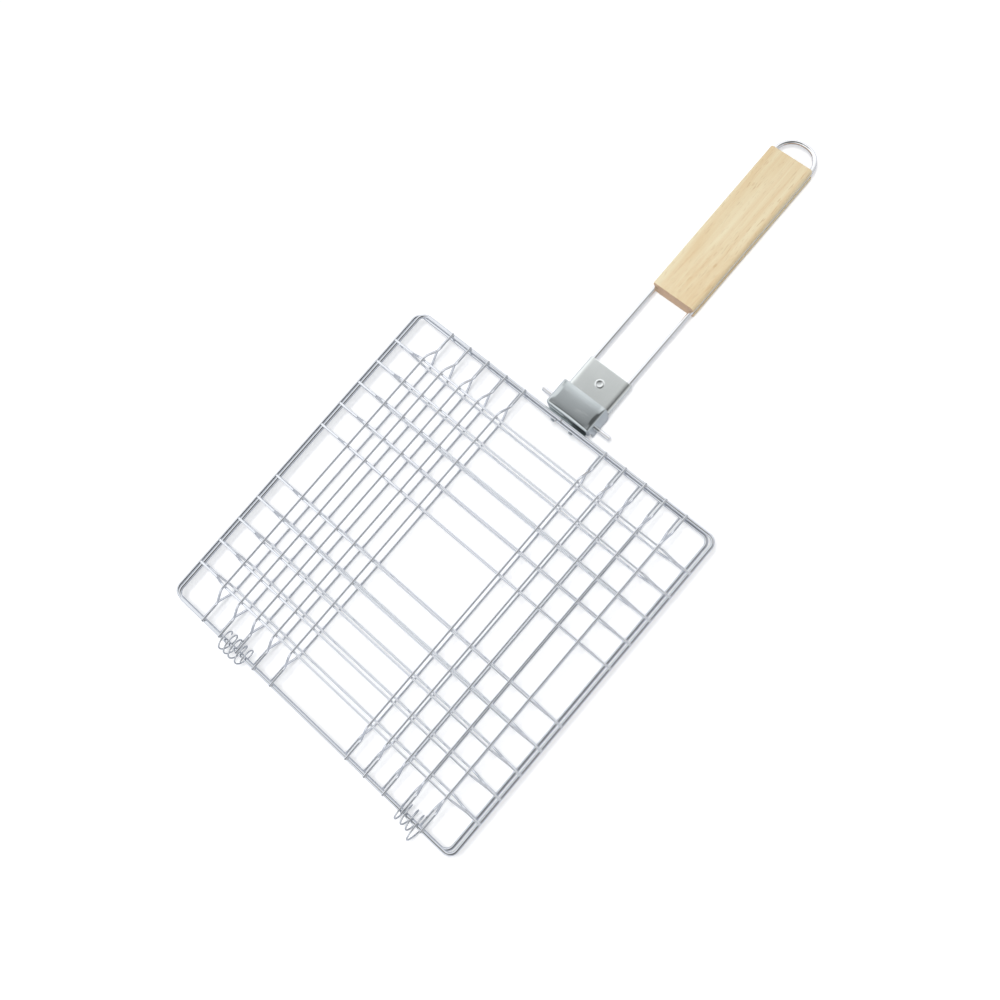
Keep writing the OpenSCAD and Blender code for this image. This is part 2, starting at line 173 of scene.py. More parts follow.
def end_geometry(graph, geometry, material):
    """Every tree ends in plain meshes with their material."""
    real = graph.add("GeometryNodeRealizeInstances", None, {"Geometry": geometry})
    done = graph.add("GeometryNodeSetMaterial", None, {"Geometry": real, "Material": material})
    exit_node = graph.tree.nodes.new("NodeGroupOutput")
    graph.tree.links.new(done.socket, exit_node.inputs[0])
    return graph.tree


# ---- Making meshes ----

def link(name, mesh):
    piece = bpy.data.objects.new(name, mesh)
    bpy.context.scene.collection.objects.link(piece)
    return piece


def apply_modifiers(piece):
    """Gives the piece a mesh of its own with its modifiers applied."""
    bpy.context.view_layer.update()
    evaluated = piece.evaluated_get(bpy.context.evaluated_depsgraph_get())
    mesh = bpy.data.meshes.new_from_object(evaluated)
    piece.modifiers.clear()
    piece.data = mesh


def grown(tree, values):
    """A mesh made by a Geometry Nodes tree with these values at its named inputs."""
    piece = link("growing", bpy.data.meshes.new("growing"))
    modifier = piece.modifiers.new("growing", "NODES")
    modifier.node_group = tree
    for item in tree.interface.items_tree:
        if item.in_out == "INPUT":
            modifier[item.identifier] = values[item.name]
    apply_modifiers(piece)
    mesh = piece.data
    bpy.data.objects.remove(piece)
    return mesh


def shade(mesh, sharp_angle=40):
    mesh.polygons.foreach_set("use_smooth", [True] * len(mesh.polygons))
    mesh.set_sharp_from_angle(angle=math.radians(sharp_angle))
    mesh.update()


def place_piece(name, mesh, body, material, replaces=(), sharp_angle=40):
    """Puts a finished mesh into the object, riding on its body."""
    piece = link(name, mesh)
    mesh.materials.clear()
    mesh.materials.append(material)
    shade(mesh, sharp_angle)
    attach(piece, body)
    if replaces:
        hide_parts(*replaces)
    return piece


def joined(meshes):
    """One mesh that holds several closed meshes."""
    form = bmesh.new()
    for mesh in meshes:
        form.from_mesh(mesh)
    whole = bpy.data.meshes.new("joined")
    form.to_mesh(whole)
    form.free()
    return whole


def mesh_of(form):
    bmesh.ops.recalc_face_normals(form, faces=form.faces)
    mesh = bpy.data.meshes.new("formed")
    form.to_mesh(mesh)
    form.free()
    return mesh


def bend_points(before, corner, after, radius, steps):
    """Points of the arc that rounds a corner."""
    back = (before - corner).normalized()
    on = (after - corner).normalized()
    half = back.angle(on) / 2
    centre = corner + (back + on).normalized() * radius / math.sin(half)
    start = corner + back * radius / math.tan(half) - centre
    axis = start.cross(corner + on * radius / math.tan(half) - centre).normalized()
    sweep = math.pi - 2 * half
    return [centre + Matrix.Rotation(sweep * k / steps, 3, axis) @ start for k in range(steps + 1)]


def rounded_path(corners, radii, steps=10):
    """Points of a path whose corners are rounded. The first and last radius are 0."""
    points = []
    for i, (corner, radius) in enumerate(zip(corners, radii)):
        if radius == 0:
            points.append(corner)
        else:
            points += bend_points(corners[i - 1], corner, corners[i + 1], radius, steps)
    return points


def tube(points, radius, sides=16, end_round=0.12 * MM):
    """Closed round bar along points, with a small chamfer at both ends."""
    first = (points[1] - points[0]).normalized() * end_round
    last = (points[-2] - points[-1]).normalized() * end_round
    points = [points[0], points[0] + first, *points[1:-1], points[-1] + last, points[-1]]
    radii = [radius - end_round, *([radius] * (len(points) - 2)), radius - end_round]
    befores = [points[0], *points[:-1]]
    afters = [*points[1:], points[-1]]
    along = [(after - before).normalized() for before, after in zip(befores, afters)]
    across = along[0].orthogonal().normalized()
    form = bmesh.new()
    rings = []
    for point, ring_r, forward in zip(points, radii, along):
        across = (across - forward * across.dot(forward)).normalized()
        second = forward.cross(across)
        rings.append([
            form.verts.new(point + ring_r * (math.cos(turn) * across + math.sin(turn) * second))
            for turn in (2 * math.pi * k / sides for k in range(sides))
        ])
    for here, there in zip(rings, rings[1:]):
        for k in range(sides):
            m = (k + 1) % sides
            form.faces.new((here[k], here[m], there[m], there[k]))
    form.faces.new(rings[0])
    form.faces.new(rings[-1])
    return mesh_of(form)


def box_form(low, high):
    form = bmesh.new()
    bmesh.ops.create_cube(form, size=1.0)
    middle = (Vector(low) + Vector(high)) / 2
    size = Vector(high) - Vector(low)
    for vert in form.verts:
        vert.co = Vector(a * b for a, b in zip(vert.co, size)) + middle
    return form


def with_modifiers(mesh, *steps):
    """The mesh after a list of (kind, settings) modifiers."""
    piece = link("shaping", mesh)
    for kind, settings in steps:
        modifier = piece.modifiers.new(kind, kind)
        for name, value in settings.items():
            setattr(modifier, name, value)
    apply_modifiers(piece)
    shaped = piece.data
    bpy.data.objects.remove(piece)
    return shaped


def eased(width, segments):
    """Modifier that rounds the sharp edges."""
    settings = {"width": width, "segments": segments, "limit_method": "ANGLE", "angle_limit": math.radians(50)}
    return "BEVEL", settings


def cut_by(mesh, *cutters):
    """The mesh less each cutter."""
    for cutter in cutters:
        tool = link("cutter", cutter)
        mesh = with_modifiers(mesh, ("BOOLEAN", {"object": tool, "operation": "DIFFERENCE", "solver": "EXACT"}))
        bpy.data.objects.remove(tool)
    return mesh


def rod(start, end, radius, sides=48):
    return tube([Vector(start), Vector(end)], radius, sides)


def plate_along_x(outline, low_x, high_x):
    """Solid with an outline of (y, z) points, from low_x to high_x."""
    form = bmesh.new()
    near = [form.verts.new((low_x, y, z)) for y, z in outline]
    far = [form.verts.new((high_x, y, z)) for y, z in outline]
    form.faces.new(near)
    form.faces.new(far)
    for i in range(len(outline)):
        j = (i + 1) % len(outline)
        form.faces.new((near[i], near[j], far[j], far[i]))
    return mesh_of(form)


def turned(profile, centre, steps=64):
    """Solid of revolution about the vertical through centre, from (radius, height) points."""
    form = bmesh.new()
    rings = []
    for radius, height in profile:
        if radius == 0:
            rings.append([form.verts.new((centre[0], centre[1], height))])
            continue
        rings.append([
            form.verts.new((
                centre[0] + radius * math.cos(2 * math.pi * k / steps),
                centre[1] + radius * math.sin(2 * math.pi * k / steps),
                height,
            ))
            for k in range(steps)
        ])
    for here, there in zip(rings, rings[1:]):
        for k in range(steps):
            m = (k + 1) % steps
            if len(here) == 1:
                form.faces.new((here[0], there[k], there[m]))
            elif len(there) == 1:
                form.faces.new((here[k], here[m], there[0]))
            else:
                form.faces.new((here[k], here[m], there[m], there[k]))
    return mesh_of(form)


# ---- Sizes, read from the frame ----

WIRES = range(1, 11)
PANELS = {"upper": ("top", "lid"), "lower": ("bottom", "basket")}


def wire_nodes(kind):
    return [f"{kind}_wire_{i}" for i in WIRES]


def middle(node):
    low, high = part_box(node)
    return (low + high) / 2


def half_size(node):
    low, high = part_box(node)
    return (high - low) / 2


mesh_wire_r = half_size("top_long_wire_1").x
frame_wire_r = half_size("top_frame").z
handle_wire_r = half_size("handle_wire").z
BEND_R = 6 * MM
STEP_RUN = 11.7 * MM
FRAME_CORNER_R = 7 * MM
LEG_X = 17.75 * MM
PIN_BEND_R = handle_wire_r + 0.4 * MM
SHEET_T = 1.2 * MM
FOLD_R = 2.4 * MM
SLEEVE_T = 0.9 * MM


# ---- Finishes ----

def plated_wire(name, tint=(0.76, 0.78, 0.81), roughness=0.06):
    """Bright plated steel wire: a faint mottle, and fine lines left by drawing."""
    material, graph = new_material(name)
    place = graph.object_place()
    mottle = graph.noise(place, 420.0, detail=4.0, roughness=0.6)
    patch = graph.noise(place, 60.0, detail=2.0)
    shade_of = (mottle - 0.5) * 0.12 + (patch - 0.5) * 0.16 + 0.94
    dark = rgb(*(0.70 * c for c in tint))
    colour = graph.colour_mix(shade_of.clamped(), dark, rgb(*tint))
    pits = graph.noise(place, 2600.0, detail=2.0)
    rough = roughness + (mottle - 0.5) * 0.05 + (pits - 0.5) * 0.03
    normal = graph.bump(pits + mottle * 0.6, 0.008 * MM, 0.4)
    shader = graph.add("ShaderNodeBsdfPrincipled", None, {
        "Base Color": colour, "Metallic": 1.0, "Roughness": rough.clamped(), "Normal": normal,
    })
    finish_material(graph, shader)
    return material


def weld_metal():
    """Fused spots where wires are welded: duller and a little stained."""
    material, graph = new_material("welded_spot")
    place = graph.object_place()
    grain = graph.noise(place, 1800.0, detail=3.0, roughness=0.65)
    stain = graph.noise(place, 300.0, detail=2.0)
    colour = graph.colour_mix(stain.between(0.35, 0.7), rgb(0.60, 0.60, 0.61), rgb(0.43, 0.40, 0.37))
    shader = graph.add("ShaderNodeBsdfPrincipled", None, {
        "Base Color": colour, "Metallic": 1.0,
        "Roughness": (0.34 + (grain - 0.5) * 0.3).clamped(),
        "Normal": graph.bump(grain, 0.08 * MM, 0.8),
    })
    finish_material(graph, shader)
    return material


def brushed_sheet(name, tint, roughness, lines_along="X", scratch_turn=0.6, contrast=1.0):
    """Plated sheet with fine rolling lines, a few stray scratches and dull patches."""
    material, graph = new_material(name)
    stretch = (26, 1500, 1500) if lines_along == "X" else (1500, 26, 1500)
    lines = graph.noise(graph.object_place(stretch), 1.0, detail=3.0, roughness=0.6)
    cloud = graph.noise(graph.object_place(), 70.0, detail=3.0, roughness=0.55)
    speck = graph.noise(graph.object_place(), 1400.0, detail=2.0)
    # Stray scratches: thin streaks at two angles, kept to a few places
    scratches = None
    for turn, shift, reach in ((scratch_turn, 0.3, 0.66), (-0.9, 1.7, 0.70)):
        place = graph.object_place((60, 2600, 60), (0, 0, turn), (shift, 0, 0))
        streak = graph.noise(place, 1.0, detail=1.0).between(reach, reach + 0.05)
        where = graph.noise(graph.object_place(shift=(shift, shift, 0)), 55.0, detail=1.0).between(0.5, 0.62)
        streak = streak * where
        scratches = streak if scratches is None else scratches + streak
    scratches = scratches.clamped()
    tone = 0.90 + ((lines - 0.5) * 0.14 + (cloud - 0.5) * 0.24 + (speck - 0.5) * 0.04) * contrast
    tone = tone.clamped()
    dark = rgb(*(0.55 * c for c in tint))
    colour = graph.colour_mix(tone, dark, rgb(*tint))
    colour = graph.colour_mix(scratches * 0.5, colour, rgb(0.86, 0.87, 0.86))
    rough = roughness + (lines - 0.5) * 0.08 + (cloud - 0.5) * 0.08 + scratches * 0.1
    normal = graph.bump(lines * 0.7 + speck * 0.3 - scratches * 0.6, 0.006 * MM, 0.5)
    shader = graph.add("ShaderNodeBsdfPrincipled", None, {
        "Base Color": colour, "Metallic": 1.0, "Roughness": rough.clamped(), "Normal": normal,
    })
    finish_material(graph, shader)
    return material


def beech(centre):
    """Pale beech along Y: growth bands, short ray flecks and end grain on the ends."""
    material, graph = new_material("oiled_beech")
    shift = (-centre.x, -centre.y, -centre.z)
    long_place = graph.object_place((1.0, 0.055, 1.0), shift=shift)
    wander = graph.noise(graph.object_place((1.0, 0.2, 1.0), shift=shift), 45.0, detail=2.0)
    bands = graph.noise(long_place, 150.0, detail=5.0, roughness=0.55, distortion=0.5)
    broad = graph.noise(graph.object_place((1.0, 0.12, 1.0), shift=shift), 38.0, detail=2.0)
    fine = graph.noise(graph.object_place((1.0, 0.03, 1.0), shift=shift), 900.0, detail=3.0, roughness=0.6)
    # Ray flecks: short, thin and darker than the wood around them
    flecks = graph.noise(graph.object_place((1.0, 0.16, 1.0), shift=shift), 620.0, detail=1.0)
    flecks = flecks.between(0.62, 0.72) * wander.between(0.35, 0.6)
    pores = graph.noise(graph.object_place((1.0, 0.10, 1.0), shift=shift), 1500.0, detail=1.0).between(0.64, 0.72)
    light = rgb(0.94, 0.83, 0.58)
    warm = rgb(0.82, 0.60, 0.34)
    colour = graph.colour_mix((bands * 2.6 + broad * 0.6 - 1.18).clamped(), light, warm)
    colour = graph.colour_mix(broad.between(0.5, 0.75) * 0.35, colour, rgb(0.76, 0.55, 0.28))
    colour = graph.colour_mix((fine - 0.35).clamped() * 0.7, colour, rgb(0.95, 0.87, 0.62))
    colour = graph.colour_mix(flecks * 0.45, colour, rgb(0.66, 0.43, 0.20))
    colour = graph.colour_mix(pores * 0.25, colour, rgb(0.55, 0.36, 0.18))
    # The ends are cut across the grain, so they are darker and redder
    normal_axis = graph.add("ShaderNodeNewGeometry", output="True Normal")
    facing = graph.add("ShaderNodeSeparateXYZ", None, {0: normal_axis}, 1)
    end_face = facing.math("ABSOLUTE").between(0.6, 0.95)
    rings = graph.noise(graph.object_place((1, 1, 0.35), shift=shift), 520.0, detail=3.0)
    end_colour = graph.colour_mix(rings, rgb(0.78, 0.53, 0.36), rgb(0.62, 0.38, 0.23))
    colour = graph.colour_mix(end_face * 0.85, colour, end_colour)
    rough = 0.48 + (fine - 0.5) * 0.2 + pores * 0.15
    height = bands * 0.3 + fine * 0.5 - pores * 0.6 - flecks * 0.3
    shader = graph.add("ShaderNodeBsdfPrincipled", None, {
        "Base Color": colour, "Roughness": rough.clamped(), "Normal": graph.bump(height, 0.12 * MM, 0.7),
        "Specular IOR Level": 0.4,
    })
    finish_material(graph, shader)
    return material


wire_finish = plated_wire("plated_mesh_wire")
# Same plated steel as the mesh wire, tinted darker: painted shade for the deeper dark reflections of the thicker
# frame wire
frame_painted_shade_finish = plated_wire("plated_frame_wire_painted_shade", tint=(0.68, 0.70, 0.73), roughness=0.06)
coil_finish = plated_wire("plated_coil_wire", tint=(0.60, 0.62, 0.64), roughness=0.08)
handle_finish = plated_wire("plated_handle_wire", tint=(0.86, 0.865, 0.87), roughness=0.05)
weld_finish = weld_metal()
bracket_finish = brushed_sheet("plated_bracket_sheet", (0.56, 0.60, 0.605), 0.09)
sleeve_finish = brushed_sheet("plated_sleeve_sheet", (0.79, 0.82, 0.80), 0.14, "Y", 0.9, 0.6)
rivet_finish = plated_wire("plated_rivet", tint=(0.78, 0.80, 0.79), roughness=0.2)


# ---- Mesh wires: one tree makes the ten like wires of a panel ----

ARRAY_INPUTS = {
    "Along": "Vector", "Across": "Vector", "Origin": "Vector",
    "Start": "Float", "End": "Float", "Raised Low": "Float", "Raised High": "Float",
    "Step Run": "Float", "Rise": "Float", "Wire Radius": "Float", "Bend Radius": "Float",
    "Group Count": "Int", "Pitch": "Float", "Gap": "Float", "Sides": "Int", "Material": "Material",
}


def array_offset(index, group_count, pitch, gap):
    """Offset of an item from the middle of a row of two equal groups."""
    from_middle = index - (group_count - 0.5)
    side = from_middle.math("SIGN")
    return side * ((gap - pitch) / 2) + from_middle * pitch


def wire_array_tree():
    graph, value = geometry_graph("stepped_wire_array", ARRAY_INPUTS)
    index = graph.add("GeometryNodeInputIndex")
    stations = [
        value["Start"], value["Raised Low"] - value["Step Run"], value["Raised Low"],
        value["Raised High"], value["Raised High"] + value["Step Run"], value["End"],
    ]
    lengths = {"Index": index, **{i + 1: station for i, station in enumerate(stations)}}
    length = graph.add("GeometryNodeIndexSwitch", {"data_type": "FLOAT", "items": 6}, lengths)
    heights = {"Index": index, 1: 0.0, 2: 0.0, 3: value["Rise"], 4: value["Rise"], 5: 0.0, 6: 0.0}
    height = graph.add("GeometryNodeIndexSwitch", {"data_type": "FLOAT", "items": 6}, heights)
    run = graph.add("ShaderNodeVectorMath", {"operation": "SCALE"}, {0: value["Along"], "Scale": length})
    lift = graph.add("ShaderNodeCombineXYZ", None, {"Z": height})
    place = graph.add("ShaderNodeVectorMath", {"operation": "ADD"}, {0: run, 1: lift})
    corners = graph.add("GeometryNodeMeshLine", None, {"Count": 6})
    corners = graph.add("GeometryNodeSetPosition", None, {"Geometry": corners, "Position": place})
    path = graph.add("GeometryNodeMeshToCurve", None, {"Mesh": corners})
    path = graph.add("GeometryNodeFilletCurve", {"mode": "POLY"}, {
        "Curve": path, "Count": 7, "Radius": value["Bend Radius"],
    })
    profile = graph.add("GeometryNodeCurvePrimitiveCircle", None, {
        "Resolution": value["Sides"], "Radius": value["Wire Radius"],
    })
    wire = graph.add("GeometryNodeCurveToMesh", None, {
        "Curve": path, "Profile Curve": profile, "Fill Caps": True,
    })

    offset = array_offset(index, value["Group Count"], value["Pitch"], value["Gap"])
    aside = graph.add("ShaderNodeVectorMath", {"operation": "SCALE"}, {0: value["Across"], "Scale": offset})
    spot = graph.add("ShaderNodeVectorMath", {"operation": "ADD"}, {0: aside, 1: value["Origin"]})
    spots = graph.add("GeometryNodePoints", None, {"Count": value["Group Count"] * 2, "Position": spot})
    wires = graph.add("GeometryNodeInstanceOnPoints", None, {"Points": spots, "Instance": wire})
    return end_geometry(graph, wires, value["Material"])


WELD_INPUTS = {
    "Origin": "Vector", "Columns": "Int", "Column Pitch": "Float", "Column Gap": "Float",
    "Rows": "Int", "Row Pitch": "Float", "Row Gap": "Float",
    "Length": "Float", "Width": "Float", "Thickness": "Float", "Seed": "Int", "Material": "Material",
}


def weld_grid_tree():
    """Flattened beads of weld at the crossings of two rows of wires."""
    graph, value = geometry_graph("weld_bead_grid", WELD_INPUTS)
    index = graph.add("GeometryNodeInputIndex")
    columns = value["Columns"] * 2
    row = (index / columns).math("FLOOR")
    column = index - row * columns
    x = array_offset(column, value["Columns"], value["Column Pitch"], value["Column Gap"])
    y = array_offset(row, value["Rows"], value["Row Pitch"], value["Row Gap"])
    slip = graph.add("FunctionNodeRandomValue", {"data_type": "FLOAT_VECTOR"}, {
        0: (-0.12 * MM, -0.12 * MM, 0), 1: (0.12 * MM, 0.12 * MM, 0), "Seed": value["Seed"],
    })
    spot = graph.add("ShaderNodeCombineXYZ", None, {"X": x, "Y": y})
    spot = graph.add("ShaderNodeVectorMath", {"operation": "ADD"}, {0: spot, 1: value["Origin"]})
    spot = graph.add("ShaderNodeVectorMath", {"operation": "ADD"}, {0: spot, 1: slip})
    spots = graph.add("GeometryNodePoints", None, {"Count": columns * value["Rows"] * 2, "Position": spot})
    bead = graph.add("GeometryNodeMeshUVSphere", None, {"Segments": 10, "Rings": 6, "Radius": 1.0})
    size = graph.add("ShaderNodeCombineXYZ", None, {
        "X": value["Length"], "Y": value["Width"], "Z": value["Thickness"],
    })
    vary = graph.add("FunctionNodeRandomValue", {"data_type": "FLOAT"}, {
        2: 0.85, 3: 1.15, "Seed": value["Seed"] + 7,
    }, 1)
    size = graph.add("ShaderNodeVectorMath", {"operation": "SCALE"}, {0: size, "Scale": vary})
    beads = graph.add("GeometryNodeInstanceOnPoints", None, {"Points": spots, "Instance": bead, "Scale": size})
    return end_geometry(graph, beads, value["Material"])


wire_array = wire_array_tree()
weld_grid = weld_grid_tree()
# How far a rounded bend draws the raised part's end away from the last crossing wire
bend_reach = 2.46 * MM


def group_layout(kind, axis):
    """Centre, pitch, gap and last place of the ten wires of a kind along an axis (0 is X, 1 is Y)."""
    places = sorted(middle(node)[axis] for node in wire_nodes(kind))
    return (places[0] + places[-1]) / 2, places[1] - places[0], places[5] - places[4], places[-1]


for panel, (prefix, body) in PANELS.items():
    inner = -1 if panel == "upper" else 1
    x_centre, x_pitch, x_gap, x_last = group_layout(f"{prefix}_long", 0)
    y_centre, y_pitch, y_gap, y_last = group_layout(f"{prefix}_cross", 1)
    raised_x = x_last - x_centre + mesh_wire_r + bend_reach
    raised_y = y_last - y_centre + mesh_wire_r + bend_reach
    ends_z = {}
    raised_z = {}
    for kind, axis in (("long", 1), ("cross", 0)):
        low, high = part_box(f"{prefix}_{kind}_wire_1")
        near_z, far_z = low.z + mesh_wire_r, high.z - mesh_wire_r
        ends_z[kind], raised_z[kind] = (near_z, far_z) if panel == "upper" else (far_z, near_z)
        centre = y_centre if kind == "long" else x_centre
        raised = raised_y if kind == "long" else raised_x
        mesh = grown(wire_array, {
            "Along": (0, 1, 0) if kind == "long" else (1, 0, 0),
            "Across": (1, 0, 0) if kind == "long" else (0, 1, 0),
            "Origin": (x_centre, y_centre, ends_z[kind]),
            "Start": low[axis] - centre, "End": high[axis] - centre,
            "Raised Low": -raised, "Raised High": raised,
            "Step Run": STEP_RUN, "Rise": raised_z[kind] - ends_z[kind],
            "Wire Radius": mesh_wire_r, "Bend Radius": BEND_R, "Group Count": 5,
            "Pitch": x_pitch if kind == "long" else y_pitch,
            "Gap": x_gap if kind == "long" else y_gap,
            "Sides": 16, "Material": wire_finish,
        })
        place_piece(f"{panel}_{kind}_wires", mesh, body, wire_finish, wire_nodes(f"{prefix}_{kind}"))

    frame_middle = middle(f"{prefix}_frame")
    frame_half = half_size(f"{prefix}_frame")
    seam_z = frame_middle.z - inner * (frame_wire_r + 0.02 * MM)
    crossing_z = (raised_z["long"] + raised_z["cross"]) / 2
    span_x, span_y = 2 * (frame_half.x - frame_wire_r), 2 * (frame_half.y - frame_wire_r)
    # Middle of each grid of beads, its columns, its rows, and a bead's half sizes in mm
    grids = [
        ((x_centre, y_centre, crossing_z), 5, x_pitch, x_gap, 5, y_pitch, y_gap, (0.95, 0.95, 0.34)),
        ((x_centre, frame_middle.y, seam_z), 5, x_pitch, x_gap, 1, 0.0, span_y, (0.95, 1.2, 0.36)),
        ((frame_middle.x, y_centre, seam_z), 1, 0.0, span_x, 5, y_pitch, y_gap, (1.2, 0.95, 0.36)),
    ]
    beads = [
        grown(weld_grid, {
            "Origin": origin, "Columns": columns, "Column Pitch": column_pitch, "Column Gap": column_gap,
            "Rows": rows, "Row Pitch": row_pitch, "Row Gap": row_gap,
            "Length": size[0] * MM, "Width": size[1] * MM, "Thickness": size[2] * MM,
            "Seed": 11 + len(panel) + number, "Material": weld_finish,
        })
        for number, (origin, columns, column_pitch, column_gap, rows, row_pitch, row_gap, size) in enumerate(grids)
    ]
    place_piece(f"{panel}_weld_beads", joined(beads), body, weld_finish)


# ---- Frames: one bent wire each, whose ends meet in a weld at the handle side ----

END_GAP = 0.7 * MM

for panel, (prefix, body) in PANELS.items():
    low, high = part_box(f"{prefix}_frame")
    z = (low.z + high.z) / 2
    inset = Vector((frame_wire_r, frame_wire_r, 0))
    near, far = low + inset, high - inset
    # The upper wire's ends show beside the bracket's middle. The lower wire's ends are under it.
    seam = Vector(((near.x + far.x) / 2 - 0.8 * MM, far.y, z))
    end = Vector((END_GAP / 2, 0, 0))
    corners = [
        seam - end, Vector((near.x, far.y, z)), Vector((near.x, near.y, z)),
        Vector((far.x, near.y, z)), Vector((far.x, far.y, z)), seam + end,
    ]
    path = rounded_path(corners, [0, *([FRAME_CORNER_R] * 4), 0], steps=14)
    ring = tube(path, frame_wire_r, 28, end_round=0.45 * MM)
    place_piece(f"{panel}_frame_wire", ring, body, frame_painted_shade_finish, [f"{prefix}_frame"])
    profile = [(0, -1.1), (1.0, -1.0), (1.12, -0.4), (1.16, 0.1), (1.1, 0.5), (0.9, 1.0), (0, 1.1)]
    weld = turned(profile, (0, 0), 28)
    along_x = Matrix.Rotation(math.radians(90), 4, "Y")
    weld.transform(Matrix.Translation(seam) @ along_x @ Matrix.Diagonal((MM, MM, MM, 1)))
    place_piece(f"{panel}_frame_butt_weld", weld, body, weld_finish)


# ---- Hinge coils ----

coil_wire_r = 0.65 * MM
COIL_R = 7.9 * MM
COIL_STEP = 7.5  # degrees between two points of a coil
LAST_TURN = 400  # degrees at a coil's end that are drawn out
hinge_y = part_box("bottom_frame")[0].y + frame_wire_r
hinge_z = middle("bottom_frame").z
shift_x = middle("top_frame").x - middle("bottom_frame").x
SWING_ROOM = mesh_wire_r + coil_wire_r + 0.2 * MM


def turns_at(stations, angle):
    """X at an angle, from (angle, x) stations."""
    for (a0, x0), (a1, x1) in zip(stations, stations[1:]):
        if angle <= a1:
            return x0 + (x1 - x0) * (angle - a0) / (a1 - a0)
    return stations[-1][1]


def coil(name, stations, lean, end_stretch):
    """Close turns round both frame wires. lean tips the turns, and end_stretch draws out the last one."""
    first, last = stations[0][0], stations[-1][0]
    count = round((last - first) / COIL_STEP)
    points = []
    for k in range(count + 1):
        angle = first + (last - first) * k / count
        turn = math.radians(angle)
        # A hand-wound coil is not quite round or even
        radius = COIL_R + 0.22 * MM * math.sin(1.7 * turn + 0.6) + 0.14 * MM * math.sin(0.61 * turn)
        late = max(0.0, (angle - (last - LAST_TURN)) / LAST_TURN)
        away = max(0.0, -math.cos(turn)) ** 1.5
        radius += end_stretch * late * away
        x = turns_at(stations, angle) + lean * away * late
        points.append(Vector((x, hinge_y + radius * math.cos(turn), hinge_z + radius * math.sin(turn))))
    mesh = tube(points, coil_wire_r, 14, end_round=0.1 * MM)
    return place_piece(name + "_wire", mesh, "basket", coil_finish, [name])


long_x = {i: middle(f"top_long_wire_{i}").x for i in WIRES}
STEP_START, STEP_END, LOWER_CROSS = 240, 390, -20
left_pitch = 5.4 * MM
left_start = long_x[2] + SWING_ROOM
left_step = long_x[3] - shift_x - SWING_ROOM + (STEP_START - LOWER_CROSS) / 360 * left_pitch
left_landing = long_x[3] + SWING_ROOM
left_end = long_x[3] + 8.5 * MM
coil("hinge_coil_left", [
    (STEP_START - (left_step - left_start) / left_pitch * 360, left_start),
    (STEP_START, left_step),
    (STEP_END, left_landing),
    (STEP_END + (left_end - left_landing) / left_pitch * 360, left_end),
], lean=0.0, end_stretch=0.0)

right_start = long_x[9] - shift_x + SWING_ROOM
right_take_off = long_x[9] - SWING_ROOM
right_landing = long_x[9] + SWING_ROOM
right_end = long_x[10] - SWING_ROOM
right_turns = 1.5 + (360 + LOWER_CROSS - (STEP_END - 360)) / 360
right_pitch = (long_x[10] - shift_x - right_landing) / right_turns
coil("hinge_coil_right", [
    (STEP_START - 170, right_start),
    (STEP_START, right_take_off),
    (STEP_END, right_landing),
    (STEP_END + (right_end - right_landing) / right_pitch * 360, right_end),
], lean=-1.0 * MM, end_stretch=7.5 * MM)


# ---- Bracket: folded sheet with a shelf and two tabs round the lower frame wire ----

bracket_low, bracket_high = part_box("handle_bracket")
wire_low, wire_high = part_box("handle_wire")
pin_y = wire_low.y + handle_wire_r
pin_z = (wire_low.z + wire_high.z) / 2
lower_frame_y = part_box("bottom_frame")[1].y - frame_wire_r
shelf_top = hinge_z - frame_wire_r - 0.03 * MM
shelf_half = (bracket_high.x - bracket_low.x) / 2 - FOLD_R
bracket_x = (bracket_low.x + bracket_high.x) / 2
BRACKET_DEPTH = 23.5 * MM
BRACKET_FRONT = bracket_high.y - BRACKET_DEPTH
PIN_HOLE_R = handle_wire_r + 0.2 * MM
CORNER_R = 4 * MM
CROWN = 0.6 * MM
CROWN_STEP = 0.19  # spacing of the crown's rows, as a share of the half width
TAB_W = 3 * MM
TAB_SPREAD = 18 * MM


def split(form, place, normal):
    """Cuts new edges into a form where a plane crosses it."""
    whole = form.verts[:] + form.edges[:] + form.faces[:]
    bmesh.ops.bisect_plane(form, geom=whole, plane_co=place, plane_no=normal)


